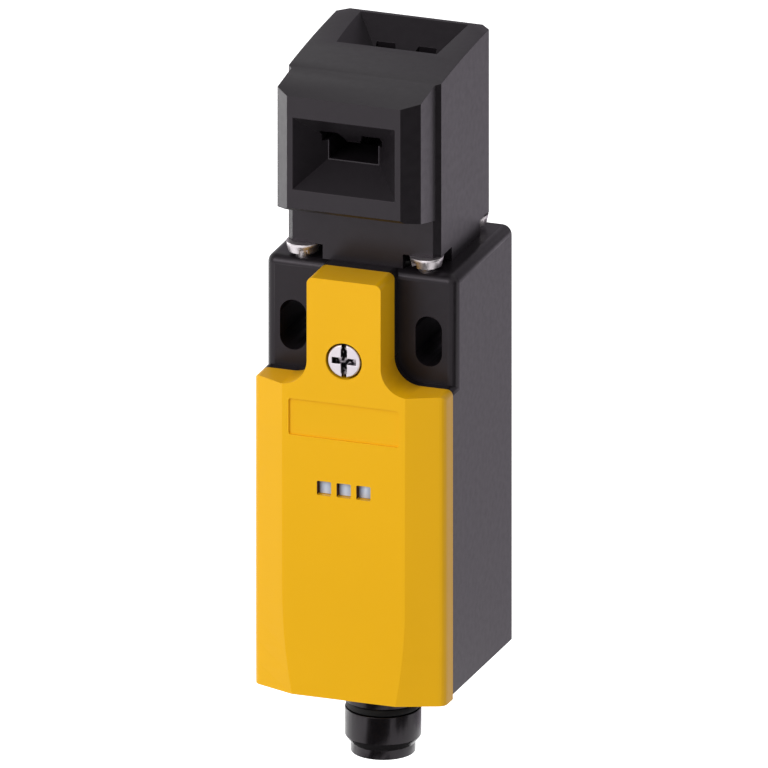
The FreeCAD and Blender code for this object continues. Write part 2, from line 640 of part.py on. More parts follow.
# ---------------------------------------------------------------- cam and plunger
def cam_profile():
    """Section of the middle cam: a spiral under a round-nosed follower, then a plain hub."""
    nose = PLUNGER_R + RUN_FIT
    points = []
    for i in range(CAM_STEPS + 1):
        turn = math.radians(CAM_SWEEP) * i / CAM_STEPS
        r, a = CAM_HIGH + PLUNGER_R - LIFT_PER_RAD * turn, turn - math.pi / 2
        out, along = V(math.cos(a), math.sin(a), 0), V(-math.sin(a), math.cos(a), 0)
        normal = out * r + along * LIFT_PER_RAD
        normal.normalize()
        points.append(out * r - normal * nose)
    high, crest = points[0].Length, math.atan2(points[0].y, points[0].x)
    dwell = crest - math.radians(20)
    stop = math.atan2(points[-1].y, points[-1].x) + math.radians(12)

    def place(p):
        return point("YZ", CAM_Y + p.x, CAM_Z + p.y, -CAM_T / 2)

    def polar(r, a):
        return V(r * math.cos(a), r * math.sin(a), 0)

    over = (stop + dwell + 2 * math.pi) / 2
    top = Part.Arc(place(polar(high, dwell)), place(polar(high, (dwell + crest) / 2)),
                   place(points[0]))
    hub = Part.Arc(place(polar(HUB_R, stop)), place(polar(HUB_R, over)),
                   place(polar(HUB_R, dwell)))
    spiral = Part.makePolygon([place(p) for p in points + [polar(HUB_R, stop)]])
    close = Part.makeLine(place(polar(HUB_R, dwell)), place(polar(high, dwell)))
    return Part.Wire([top.toShape()] + spiral.Edges + [hub.toShape(), close])


def cam_wheel():
    middle = Part.Face(cam_profile()).extrude(V(CAM_T, 0, 0))
    hub = rod(HUB_R, (-DISC_OUT - 0.2, CAM_Y, CAM_Z), (DISC_OUT + 0.2, CAM_Y, CAM_Z))
    solids = [middle, hub]
    for x in (-1, 1):
        disc = rod(DISC_R, (x * DISC_IN, CAM_Y, CAM_Z), (x * DISC_OUT, CAM_Y, CAM_Z))
        for lean in (45.8, -44.2):
            foot, tip = CAM_Z + ENTRY_OFFSET, CAM_Z + DISC_R + 1
            notch = prism([(CAM_Y - NOTCH_W / 2 + 0.4, foot, 0.6),
                           (CAM_Y + NOTCH_W / 2 - 0.4, foot, 0.6),
                           (CAM_Y + NOTCH_W / 2 + 0.4, tip), (CAM_Y - NOTCH_W / 2 - 0.4, tip)],
                          "YZ", -DISC_OUT - 1, DISC_OUT + 1)
            notch.rotate(V(0, CAM_Y, CAM_Z), V(1, 0, 0), lean)
            disc = disc.cut(notch)
        solids.append(disc)
    bore = rod(AXLE_R + RUN_FIT, (-DISC_OUT - 1, CAM_Y, CAM_Z), (DISC_OUT + 1, CAM_Y, CAM_Z))
    return joined(*solids).cut(bore)


def cam_axle():
    reach = DISC_OUT + 1.3
    return rod(AXLE_R, (-reach, CAM_Y, CAM_Z), (reach, CAM_Y, CAM_Z))


def cam_bearing():
    inner, outer = DISC_OUT + 0.35, DISC_OUT + 1.35
    reach = DISC_R + 0.5
    plate_top = CAM_Z - reach - 0.2
    base = box(-outer, outer, CAM_Y - reach, CAM_Y + reach, TOP, plate_top)
    cheeks = []
    for low, high in ((-outer, -inner), (inner, outer)):
        cheeks.append(prism([(CAM_Y - 4.2, plate_top - 0.5), (CAM_Y + 3.6, plate_top - 0.5),
                             (CAM_Y + 2.6, CAM_Z + 2.6, 2.5), (CAM_Y - 2.6, CAM_Z + 2.6, 2.5)],
                            "YZ", low, high))
    block = joined(base, *cheeks)
    return block.cut([rod(AXLE_R, (-outer - 1, CAM_Y, CAM_Z), (outer + 1, CAM_Y, CAM_Z)),
                      rod(BUSH_R, (0, CAM_Y, TOP - 1), (0, CAM_Y, plate_top + 1))])


def plunger_bush():
    top = CAM_Z - DISC_R - 0.7
    flange = BUSH_R + 0.9
    return turned([(PLUNGER_R + RUN_FIT, TOP - 1.6), (flange, TOP - 1.6), (flange, TOP),
                   (BUSH_R, TOP), (BUSH_R, top), (PLUNGER_R + RUN_FIT, top)], 0, CAM_Y)


def plunger_top():
    return CAM_Z - CAM_HIGH - RUN_FIT


def collar_z():
    return ROOF_Z + SEAT_T + PLUNGER_SPRING_H


def head_plunger():
    nose_z, foot = plunger_top() - PLUNGER_R, ROOF_Z - PLUNGER_FOOT
    stem = rod(PLUNGER_R, (0, CAM_Y, foot), (0, CAM_Y, nose_z + PLUNGER_R))
    nose = rod(PLUNGER_R, (-PLUNGER_R, CAM_Y, nose_z), (PLUNGER_R, CAM_Y, nose_z)).fuse(
        box(-PLUNGER_R, PLUNGER_R, CAM_Y - PLUNGER_R, CAM_Y + PLUNGER_R, foot - 1, nose_z))
    collar = rod(COLLAR_R, (0, CAM_Y, collar_z()), (0, CAM_Y, collar_z() + COLLAR_T))
    return joined(stem.common(nose), collar)


def plunger_spring():
    return coil(PLUNGER_SPRING_R, PLUNGER_SPRING_WIRE, ROOF_Z + SEAT_T, collar_z(), 4, 0, CAM_Y)


# ---------------------------------------------------------------- contact block
def contact_levels():
    """Tip height and strip height of the upper and the lower pair of fixed contacts."""
    upper_tip = AUX_Z - BRIDGE_T - RUN_FIT
    lower_tip = SAFE_Z + LIFT + RUN_FIT
    return ((upper_tip, upper_tip - TIP_H - STRIP_T, 1), (lower_tip, lower_tip + TIP_H, -1))


def terminal_z(level):
    """Centre of the terminal tab that belongs to contact level 0 or 1."""
    strip, way = contact_levels()[level][1:]
    return strip + STRIP_T / 2 + way * (CLAMP_PLATE / 2 + STRIP_T / 2 + 0.1)


def block_screw_places():
    return [(side * TERMINAL_X, BLOCK_FOOT + BLOCK_SCREW_UP) for side in (-1, 1)]


def fixed_contact(side, level):
    tip, strip, way = contact_levels()[level]
    outer = TERMINAL_X + CLAMP_PLATE / 2
    y0, y1 = CAM_Y - STRIP_D / 2, CAM_Y + STRIP_D / 2
    tab_front = BLOCK_FRONT - STRIP_T
    flat = box(BRIDGE_W / 2 - 2 * TIP_IN, outer, y0, y1, strip, strip + STRIP_T, 0.3)
    run = box(outer - 3.0, outer, tab_front, y1, strip, strip + STRIP_T)
    z = terminal_z(level)
    tab = box(outer - CLAMP_PLATE, outer, tab_front, BLOCK_FRONT,
              min(strip, z - CLAMP_PLATE / 2), max(strip + STRIP_T, z + CLAMP_PLATE / 2))
    x = BRIDGE_W / 2 - TIP_IN
    rivet = rod(TIP_R, (x, CAM_Y, tip), (x, CAM_Y, strip + STRIP_T / 2))
    solid = joined(flat, run, tab, rivet)
    solid = solid.cut(rod(TERMINAL_R, (TERMINAL_X, BLOCK_FRONT - 2, z), (TERMINAL_X, 0, z)))
    return mirrored(solid) if side < 0 else solid


def contact_room():
    """Slots through the sides of the block for the contact strips."""
    outer = TERMINAL_X + CLAMP_PLATE / 2
    y1 = CAM_Y + STRIP_D / 2
    room = []
    for level in contact_levels():
        for side in (-1, 1):
            low, high = sorted((side * (CHAMBER_W / 2 - 1), side * (outer + 3)))
            room.append(box(low, high, BLOCK_FRONT - 1, y1, level[1], level[1] + STRIP_T))
    return room


def contact_base():
    body = box(-BLOCK_W / 2, BLOCK_W / 2, BLOCK_FRONT, BLOCK_BACK, BLOCK_FOOT, BLOCK_TOP, 0.6)
    half, stem = CHAMBER_W / 2, STEM_W / 2 + RUN_FIT
    cuts = [box(-half, half, BLOCK_FRONT - 1, CAM_Y + 4.4, CHAMBER_FOOT, CHAMBER_TOP),
            box(-stem, stem, CAM_Y - stem, CAM_Y + stem, CHAMBER_TOP - 1, BLOCK_TOP + 1),
            rod(TAIL_R + RUN_FIT, (0, CAM_Y, BLOCK_FOOT - 1), (0, CAM_Y, CHAMBER_FOOT))]
    cuts += contact_room()
    for level in (0, 1):
        for side in (-1, 1):
            x, z = side * TERMINAL_X, terminal_z(level)
            cuts.append(rod(TERMINAL_R, (x, BLOCK_FRONT - 1, z),
                            (x, BLOCK_FRONT + TERMINAL_LEN + 0.4, z)))
    for x, z in block_screw_places():
        cuts.append(rod(BLOCK_SCREW_R, (x, BLOCK_FRONT - 1, z), (x, 1, z)))
    return body.cut(cuts)


def board_posts():
    x, z = BOARD_W / 2 - POST_IN, BOARD_H / 2 - POST_IN
    return [(sx * x, LED_Z + sz * z) for sx in (-1, 1) for sz in (-1, 1)]


def contact_cap():
    half = CHAMBER_W / 2 - RUN_FIT
    plate = prism(rectangle(-half, half, CHAMBER_FOOT + RUN_FIT, CHAMBER_TOP - RUN_FIT, 0.4),
                  "XZ", BLOCK_FRONT, BLOCK_FRONT + CAP_T)
    posts = [rod(POST_R, (x, BOARD_BACK, z), (x, BLOCK_FRONT + 0.5, z)) for x, z in board_posts()]
    return joined(plate, *posts)


def terminal_screw(side, level):
    x, z = side * TERMINAL_X, terminal_z(level)
    seat = BLOCK_FRONT - 2 * STRIP_T
    front, tip = seat - TERMINAL_HEAD_T, BLOCK_FRONT + TERMINAL_LEN
    body = turned_y([(0, front), (TERMINAL_HEAD_R - 0.3, front), (TERMINAL_HEAD_R, front + 0.3),
                     (TERMINAL_HEAD_R, seat), (TERMINAL_R, seat), (TERMINAL_R, tip),
                     (0, tip)], x, z)
    return body.cut(box(x - 3, x + 3, front - 1, front + 0.7, z - 0.35, z + 0.35))


def terminal_clamp(side, level):
    x, z = side * TERMINAL_X, terminal_z(level)
    half = CLAMP_PLATE / 2
    back = BLOCK_FRONT - STRIP_T
    plate = prism(rectangle(x - half, x + half, z - half + 0.2, z + half - 0.2, 0.5), "XZ",
                  back - STRIP_T, back)
    return plate.cut(rod(TERMINAL_R, (x, back - 2, z), (x, back + 1, z)))


def block_screw(place):
    x, z = place
    head, front, tip = BLOCK_SCREW_HEAD_R, BLOCK_FRONT - BLOCK_SCREW_HEAD_T, BLOCK_SCREW_TIP - WALL
    body = turned_y([(0, front), (head - 0.3, front), (head, front + 0.3), (head, BLOCK_FRONT),
                     (BLOCK_SCREW_R, BLOCK_FRONT), (BLOCK_SCREW_R, -WALL),
                     (BLOCK_SCREW_TIP_R, -WALL), (BLOCK_SCREW_TIP_R, tip), (0, tip)], x, z)
    cross = [box(x - 1.2, x + 1.2, front - 1, front + 0.7, z - 0.25, z + 0.25),
             box(x - 0.25, x + 0.25, front - 1, front + 0.7, z - 1.2, z + 1.2)]
    return body.cut(cross)


def contact_carrier():
    """Stem with windows for the bridges; a round pin on top goes through the roof."""
    half, hole = STEM_W / 2, BRIDGE_D / 2
    shoulder, neck = CHAMBER_FOOT + CARRIER_SPRING_H, ROOF_Z - LIFT - STEM_GAP
    stem = box(-half, half, CAM_Y - half, CAM_Y + half, shoulder, neck, 0.3)
    pin = rod(PLUNGER_R, (0, CAM_Y, neck - 1), (0, CAM_Y, ROOF_Z - PLUNGER_FOOT - RUN_FIT))
    tail = rod(TAIL_R, (0, CAM_Y, BLOCK_FOOT - TAIL_LEN), (0, CAM_Y, shoulder + 1))
    upper = box(-half - 1, half + 1, CAM_Y - hole, CAM_Y + hole, AUX_Z - BRIDGE_T,
                AUX_Z + CONTACT_SPRING_H)
    lower = box(-half - 1, half + 1, CAM_Y - hole, CAM_Y + hole,
                SAFE_Z - BRIDGE_T - CONTACT_SPRING_H, SAFE_Z)
    return joined(stem, pin, tail).cut([upper, lower])


def bridge(z):
    half, deep = BRIDGE_W / 2, BRIDGE_D / 2
    plate = box(-half, half, CAM_Y - deep, CAM_Y + deep, z - BRIDGE_T, z, 0.6)
    relief = [box(low, low + 1.6, CAM_Y - deep - 1, CAM_Y - deep + 0.4, z - 2, z + 1)
              for low in (-STEM_W / 2 - 1.9, STEM_W / 2 + 0.3)]
    return plate.cut(relief)


def contact_spring(z):
    return coil(CONTACT_SPRING_R, CONTACT_SPRING_WIRE, z, z + CONTACT_SPRING_H, 5, 0, CAM_Y)


def carrier_spring():
    return coil(CARRIER_SPRING_R, CARRIER_SPRING_WIRE, CHAMBER_FOOT,
                CHAMBER_FOOT + CARRIER_SPRING_H, 4, 0, CAM_Y)


# ---------------------------------------------------------------- indicator board
def led_board():
    half, high = BOARD_W / 2, BOARD_H / 2
    return prism(rectangle(-half, half, LED_Z - high, LED_Z + high, 0.5), "XZ",
                 BOARD_BACK, BOARD_BACK - BOARD_T)


def led(x):
    back = BOARD_BACK - BOARD_T
    base = prism(rectangle(x - LED_W / 2, x + LED_W / 2, LED_Z - LED_W / 2, LED_Z + LED_W / 2),
                 "XZ", back, back - LED_T * 0.6)
    return joined(base, rod(LED_W * 0.36, (x, back, LED_Z), (x, back - LED_T, LED_Z)))


# ---------------------------------------------------------------- connector
def plug_levels():
    collar = BOTTOM - PLUG_COLLAR
    ring = collar - PLUG_GROOVE
    cone = ring - PLUG_RING
    nose = cone - PLUG_CONE
    return collar, ring, cone, nose, nose - PLUG_NOSE


def plug_back():
    return CAVITY_Z + NUT_T + PLUG_BACK


def connector_shell():
    collar, ring, cone, nose, tip = plug_levels()
    groove = PLUG_RING_R - 0.96
    outer = [(PLUG_BORE_R, plug_back()), (PLUG_NECK_R, plug_back()), (PLUG_NECK_R, BOTTOM),
             (PLUG_COLLAR_R, BOTTOM), (PLUG_COLLAR_R, collar), (groove, collar), (groove, ring),
             (PLUG_RING_R, ring), (PLUG_RING_R, cone), (PLUG_NOSE_R, nose),
             (PLUG_NOSE_R, tip), (PLUG_BORE_R, tip)]
    return turned(outer, 0, PLUG_CY)


def pin_places():
    ring = [(PIN_CIRCLE_R * math.cos(a), PLUG_CY + PIN_CIRCLE_R * math.sin(a))
            for a in [math.radians(45 + 360 * i / (PINS - 1)) for i in range(PINS - 1)]]
    return ring + [(0, PLUG_CY)]


def connector_insert():
    collar, ring, cone, nose, tip = plug_levels()
    body = rod(PLUG_BORE_R, (0, PLUG_CY, collar), (0, PLUG_CY, plug_back() - 0.6))
    cuts = [rod(PIN_R, (x, y, collar - 1), (x, y, plug_back())) for x, y in pin_places()]
    return body.cut(cuts)


def connector_pin(place):
    x, y = place
    tip = plug_levels()[4] + 1.2
    return turned([(0, tip), (PIN_R - 0.25, tip), (PIN_R, tip + 0.5),
                   (PIN_R, plug_back() + PIN_BACK), (0, plug_back() + PIN_BACK)], x, y)


def connector_seal():
    collar, ring = plug_levels()[:2]
    groove = PLUG_RING_R - 0.96
    return turned(rectangle(groove, groove + 0.8, ring + 0.15, collar - 0.15), 0, PLUG_CY)


def connector_nut():
    r = NUT_AF / math.sqrt(3)
    corners = [(r * math.cos(math.radians(60 * i)),
                PLUG_CY + r * math.sin(math.radians(60 * i))) for i in range(6)]
    nut = prism(corners, "XY", CAVITY_Z, CAVITY_Z + NUT_T)
    return nut.cut(rod(PLUG_NECK_R, (0, PLUG_CY, CAVITY_Z - 1),
                       (0, PLUG_CY, CAVITY_Z + NUT_T + 1)))


def wire_run(side, level):
    """Insulated wire from the top of a connector pin to the foot of a terminal."""
    ring = PIN_CIRCLE_R * math.sqrt(0.5)
    low = plug_back() + PIN_BACK + WIRE_R + RUN_FIT
    foot = terminal_z(level) - CLAMP_PLATE / 2
    front = BLOCK_FRONT - STRIP_T - WIRE_R - RUN_FIT
    if level:
        y, x = PLUG_CY - ring, TERMINAL_X - 0.9
        ahead = BLOCK_FRONT - BLOCK_SCREW_HEAD_T - WIRE_R - 0.3
        points = [(ring - PIN_R, y, low), (ring + 1.5, y - 1.5, low), (x - 1.1, ahead + 0.6, low),
                  (x, ahead, BLOCK_FOOT), (x, ahead, foot - 3.0), (x, front, foot - 1.2),
                  (x, front, foot)]
    else:
        y, x = PLUG_CY + ring, (BLOCK_W / 2 + CAVITY_X) / 2
        points = [(ring - PIN_R, y, low), (x - 0.9, y, low), (x - 0.25, y, low + 0.3),
                  (x, y, low + 1.0), (x, front + 0.4, foot - 4.0), (x - 0.5, front, foot - 2.6),
                  (TERMINAL_X + 1.2, front, foot - 0.9), (TERMINAL_X + 1.2, front, foot)]
    return tube_path([(side * u, v, w) for u, v, w in points], WIRE_R)


# ---------------------------------------------------------------- assembly
def pieces():
    yield "housing", housing()
    yield "cover_seal", cover_seal()
    yield "cover_insert", cover_insert()
    yield "cover", cover()
    yield "cover_screw", cover_screw()
    yield "cover_screw_ring", screw_ring()
    yield "light_guide", light_guide()
    yield "head_body", head_body()
    yield "head_seal", head_seal()
    for i, ((x, y), turn) in enumerate(zip(clamp_places(), (20, -35, 70, 10))):
        yield f"head_screw_{i + 1}", clamp_screw(x, y, turn)
    yield "cam_wheel", cam_wheel()
    yield "cam_axle", cam_axle()
    yield "cam_bearing", cam_bearing()
    yield "plunger_bush", plunger_bush()
    yield "head_plunger", head_plunger()
    yield "plunger_spring", plunger_spring()
    yield "contact_base", contact_base()
    yield "contact_cap", contact_cap()
    for level, name in enumerate(("upper", "lower")):
        for side, hand in ((-1, "left"), (1, "right")):
            yield f"fixed_contact_{name}_{hand}", fixed_contact(side, level)
            yield f"terminal_screw_{name}_{hand}", terminal_screw(side, level)
            yield f"terminal_clamp_{name}_{hand}", terminal_clamp(side, level)
            yield f"wire_{name}_{hand}", wire_run(side, level)
    for place, hand in zip(block_screw_places(), ("left", "right")):
        yield f"block_screw_{hand}", block_screw(place)
    yield "contact_carrier", contact_carrier()
    yield "bridge_upper", bridge(AUX_Z)
    yield "bridge_lower", bridge(SAFE_Z)
    yield "contact_spring_upper", contact_spring(AUX_Z)
    yield "contact_spring_lower", contact_spring(SAFE_Z - BRIDGE_T - CONTACT_SPRING_H)
    yield "carrier_spring", carrier_spring()
    yield "led_board", led_board()
    for x, hand in zip(window_places(), ("left", "middle", "right")):
        yield f"led_{hand}", led(x)
    yield "connector_shell", connector_shell()
    yield "connector_insert", connector_insert()
    for i, place in enumerate(pin_places()):
        yield f"connector_pin_{i + 1}", connector_pin(place)
    yield "connector_seal", connector_seal()
    yield "connector_nut", connector_nut()


os.makedirs("parts", exist_ok=True)
for name, shape in pieces():
    solids = shape.Solids
    print(name, len(solids), "solids, valid" if shape.isValid() else "solids, NOT VALID",
          round(shape.Volume, 1))
    shape.exportStep(f"parts/{name}.step")
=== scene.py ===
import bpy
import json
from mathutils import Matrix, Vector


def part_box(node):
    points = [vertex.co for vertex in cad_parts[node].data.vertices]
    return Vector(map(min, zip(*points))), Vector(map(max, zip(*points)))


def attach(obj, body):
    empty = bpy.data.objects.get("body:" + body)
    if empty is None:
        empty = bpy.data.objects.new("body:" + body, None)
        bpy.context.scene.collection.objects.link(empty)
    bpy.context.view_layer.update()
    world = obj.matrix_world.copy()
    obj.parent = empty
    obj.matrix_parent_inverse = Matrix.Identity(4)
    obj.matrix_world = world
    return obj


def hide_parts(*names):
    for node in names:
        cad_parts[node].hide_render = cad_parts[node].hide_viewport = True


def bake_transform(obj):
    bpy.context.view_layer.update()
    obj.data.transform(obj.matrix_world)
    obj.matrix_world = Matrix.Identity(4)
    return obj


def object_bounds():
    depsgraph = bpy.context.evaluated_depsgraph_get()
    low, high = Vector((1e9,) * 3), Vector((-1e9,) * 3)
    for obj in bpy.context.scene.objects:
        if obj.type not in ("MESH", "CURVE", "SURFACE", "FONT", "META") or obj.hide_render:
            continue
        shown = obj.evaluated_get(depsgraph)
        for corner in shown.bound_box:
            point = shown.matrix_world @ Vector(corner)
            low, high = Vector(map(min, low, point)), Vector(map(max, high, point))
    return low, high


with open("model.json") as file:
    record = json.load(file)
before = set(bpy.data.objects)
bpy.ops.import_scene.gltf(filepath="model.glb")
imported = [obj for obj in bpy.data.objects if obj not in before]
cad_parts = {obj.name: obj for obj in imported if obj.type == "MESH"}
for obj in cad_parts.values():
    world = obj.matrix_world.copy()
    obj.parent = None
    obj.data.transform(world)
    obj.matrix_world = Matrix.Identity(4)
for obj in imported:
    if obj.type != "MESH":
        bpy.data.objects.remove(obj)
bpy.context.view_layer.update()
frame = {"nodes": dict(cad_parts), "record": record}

import json
import math

import bmesh
import bpy
from mathutils import Vector

MM = 0.001
NODES = frame["nodes"]

# ------------------------------------------------------------------ view and light
AZIMUTH = math.radians(20.0)
ELEVATION = math.radians(20.0)
VIEW_POINT = Vector((0.0, -14.43, -11.78)) * MM
VIEW_HEIGHT = 117.16 * MM
CAMERA_DISTANCE = 0.6               # metres, like the lamps' and flags' sizes and distances
FLOOR_DROP = 70.0 * MM              # floor below the lowest point
FLOOR_REACH = 3.0
FLOOR_GREY = (0.80, 0.80, 0.80, 1)
WORLD_LIGHT = 0.45                  # the world as diffuse light; it is seen as 1
BLACK_CARD = (0.0, 0.0, 0.0, 1)
WHITE = (1, 1, 1)
VIOLET = (1.0, 0.92, 1.03)          # tint of the flags behind the part


def scaled(values, factor=MM):
    """Values times a factor; with none given, from mm to metres."""
    return tuple(value * factor for value in values)


def srgb(r, g, b):
    """Colour as it looks on screen, 0 to 255, in linear values."""
    def linear(c):
        c /= 255.0
        return c / 12.92 if c <= 0.04045 else ((c + 0.055) / 1.055) ** 2.4
    return (linear(r), linear(g), linear(b), 1.0)


def corners(node):
    """Low and high corner of a CAD node's box."""
    return tuple(Vector(c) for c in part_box(node))


def add_object(name, data):
    obj = bpy.data.objects.new(name, data)
    bpy.context.scene.collection.objects.link(obj)
    return obj


def add_card(name, width, height, material):
    """Flat rectangle in X and Y, round its origin."""
    w, h = width / 2, height / 2
    mesh = bpy.data.meshes.new(name)
    mesh.from_pydata([(-w, -h, 0), (w, -h, 0), (w, h, 0), (-w, h, 0)], [], [(0, 1, 2, 3)])
    mesh.materials.append(material)
    return add_object(name, mesh)


def face_part(obj, towards, distance, front="-Z", aim=(0, 0, 0)):
    """Put an object out from the view point, shifted by aim in mm, with its front turned back."""
    obj.location = VIEW_POINT + Vector(aim) * MM + towards * distance
    obj.rotation_euler = (-towards).to_track_quat(front, "Y").to_euler()


def add_camera():
    data = bpy.data.cameras.new("camera")
    data.type = "ORTHO"
    data.ortho_scale = VIEW_HEIGHT
    data.clip_start, data.clip_end = 0.01, 10.0
    camera = add_object("camera", data)
    towards = Vector((math.sin(AZIMUTH) * math.cos(ELEVATION),
                      -math.cos(AZIMUTH) * math.cos(ELEVATION), math.sin(ELEVATION)))
    face_part(camera, towards, CAMERA_DISTANCE)
    bpy.context.scene.camera = camera


def add_area(name, direction, distance, size, power):
    """Soft light in the given direction from the part, aimed at its middle."""
    data = bpy.data.lights.new(name, "AREA")
    data.shape = "RECTANGLE"
    data.size, data.size_y = size
    data.energy = power
    face_part(add_object(name, data), Vector(direction).normalized(), distance)


# ------------------------------------------------------------------ shader nodes
NOISE_REACH = (0.3, 0.7)            # most of a noise's values lie between these


class Nodes:
    """A node tree, with short calls for the nodes used here."""

    def __init__(self, tree):
        self.tree = tree

    def node(self, kind, **settings):
        node = self.tree.nodes.new(kind)
        for key, value in settings.items():
            setattr(node, key, value)
        return node

    def link(self, out, into):
        self.tree.links.new(out, into)

    def fill(self, node, **values):
        """Give inputs of a node, by name, a number, a colour or another node's output."""
        for key, value in values.items():
            socket = node.inputs[key.replace("_", " ")]
            if isinstance(value, bpy.types.NodeSocket):
                self.link(value, socket)
            else:
                socket.default_value = value
        return node

    def calc(self, operation, a, b):
        node = self.node("ShaderNodeMath", operation=operation)
        for key, value in enumerate((a, b)):
            if isinstance(value, bpy.types.NodeSocket):
                self.link(value, node.inputs[key])
            else:
                node.inputs[key].default_value = value
        return node.outputs["Value"]

    def step(self, value, start, end, low=0.0, high=1.0):
        """Low before start and high after end; end may be the lesser of the two."""
        node = self.fill(self.node("ShaderNodeMapRange"), Value=value, From_Min=start,
                         From_Max=end, To_Min=low, To_Max=high)
        return node.outputs["Result"]

    def band(self, value, rise, fall):
        """1 between two edges and 0 outside; an edge is where its change starts and ends."""
        return self.calc("MINIMUM", self.step(value, *rise), self.step(value, *fall))

    def seen_by(self, *rays):
        """1 for the named kinds of ray, 0 for the others."""
        path = self.node("ShaderNodeLightPath")
        seen = path.outputs[rays[0]]
        for ray in rays[1:]:
            seen = self.calc("MAXIMUM", seen, path.outputs[ray])
        return seen


class Shader(Nodes):
    """Principled material, new by name or one that is already made."""

    def __init__(self, name=None, material=None):
        self.mat = material or bpy.data.materials.new(name)
        self.mat.use_nodes = True
        super().__init__(self.mat.node_tree)
        self.bsdf = self.tree.nodes["Principled BSDF"]
        self.coords = self.node("ShaderNodeTexCoord").outputs["Object"]

    def surface(self, **values):
        """Inputs of the principled node, by name."""
        self.fill(self.bsdf, **values)

    def noise(self, scale, detail, stretch=(1, 1, 1)):
        """Noise with about `scale` features in a metre, drawn out along some axes."""
        mapping = self.fill(self.node("ShaderNodeMapping"), Vector=self.coords, Scale=stretch)
        noise = self.fill(self.node("ShaderNodeTexNoise"), Vector=mapping.outputs["Vector"],
                          Scale=scale, Detail=detail)
        return noise.outputs["Fac"]

    def ramp(self, noise, low, high):
        """A noise's usual reach drawn out to low..high."""
        return self.step(noise, *NOISE_REACH, low, high)

    def mix(self, factor, a, b):
        """Mix of two colours."""
        node = self.fill(self.node("ShaderNodeMix", data_type="RGBA"), Factor=factor, A=a, B=b)
        return node.outputs["Result"]

    def place(self, origin):
        """X, Y and Z in the part, from the origin."""
        away = self.node("ShaderNodeVectorMath", operation="SUBTRACT")
        self.link(self.coords, away.inputs[0])
        away.inputs[1].default_value = origin
        parts = self.fill(self.node("ShaderNodeSeparateXYZ"), Vector=away.outputs["Vector"])
        return parts.outputs["X"], parts.outputs["Y"], parts.outputs["Z"]

    def bump(self, height, depth, strength, after=None):
        node = self.fill(self.node("ShaderNodeBump"), Height=height, Distance=depth,
                         Strength=strength)
        if after is not None:
            self.link(after, node.inputs["Normal"])
        return node.outputs["Normal"]


# ------------------------------------------------------------------ materials
GRAIN, GRAIN_SCALE = 0.003 * MM, 5500       # spark-eroded grain of a mould
FINE_GRAIN, COARSE_GRAIN = 0.001 * MM, 0.006 * MM
FLOW, FLOW_SCALE = 0.002 * MM, 160          # shallow waves of moulded plastic
ROUGH_SPREAD = 0.03
METAL_DULL = 0.06                           # how far a metal's colour varies
METAL_ROUGH = (-0.06, 0.08)                 # how far its roughness does
METAL_LINES, METAL_SCRATCH = 2500, 0.0015 * MM

# cover screw: where the painted shade in its slots starts and where its head ends, in mm behind
# its front
SLOT_FRONT, HEAD_BACK = (0.12, 0.40), (1.5, 1.4)
RIM_SHADE = 0.13
SPOTS = (-0.9, 1.4)                         # spread of the noise in the painted slot and rim shade, giving small bright spots
SCREW_ROUGH, SCREW_LINES, SCREW_SCRATCH = (0.30, 0.46), 2200, 0.0012 * MM

# painted shade on the window walls: shares of the windows' pitch from a window's middle,
# and from the row's, then mm from the row's middle and mm behind the cover's front
WALL_START, WALL_END, ROW_END = (0.345, 0.355), (0.375, 0.365), (1.45, 1.42)
WALL_TOP, WALL_FRONT, WALL_BACK = (1.3, 1.25), (0.02, 0.12), (1.1, 1.0)

LENS_BACK = (0.6, 0.4)                      # mm behind the light guide's front
# painted shade: pale in each window's middle, darkening to brown at its sides
LENS_STOPS = (                              # window's middle 0, halfway to the next 1
    (0.00, srgb(212, 224, 244)),
    (0.35, srgb(190, 202, 226)),
    (0.58, srgb(168, 176, 196)),
    (0.72, srgb(70, 52, 44)),
)
PINGPONG_START = 4                          # pitches to the left, to count from above 0


def shade(colour, change):
    return tuple(min(1.0, c * change) for c in colour[:3]) + (1.0,)


def uneven(s, colour, share, scale, detail):
    """Colour that is a share darker in places and a share lighter in others."""
    return s.mix(s.ramp(s.noise(scale, detail), 0, 1),
                 shade(colour, 1 - share), shade(colour, 1 + share))


def moulded(name, colour, rough, grain=GRAIN, gloss=0.3, mottle=0.03, tint=WHITE):
    """Moulded plastic or rubber: fine spark-eroded grain and slightly uneven gloss."""
    s = Shader(name)
    waves = s.bump(s.noise(FLOW_SCALE, 1), FLOW, strength=0.4)
    s.surface(Base_Color=uneven(s, colour, mottle, scale=60, detail=2),
              Roughness=s.ramp(s.noise(900, 4), rough - ROUGH_SPREAD, rough + ROUGH_SPREAD),
              Specular_IOR_Level=gloss, Specular_Tint=tint + (1,),
              Normal=s.bump(s.noise(GRAIN_SCALE, 2), grain, strength=0.6, after=waves))
    return s.mat


def brush(s, colour, rough, scratch, scale, along):
    """Make a shader metal, with fine lines drawn out along one axis."""
    lines = s.noise(scale, 3, along)
    s.surface(Base_Color=colour, Metallic=1.0, Roughness=s.ramp(lines, *rough),
              Normal=s.bump(lines, scratch, strength=0.6))
    return s.mat


def metal(name, colour, rough, along=(1, 1, 14)):
    """Machined or plated metal."""
    s = Shader(name)
    return brush(s, uneven(s, colour, METAL_DULL, scale=500, detail=3),
                 [rough + change for change in METAL_ROUGH], METAL_SCRATCH, METAL_LINES, along)


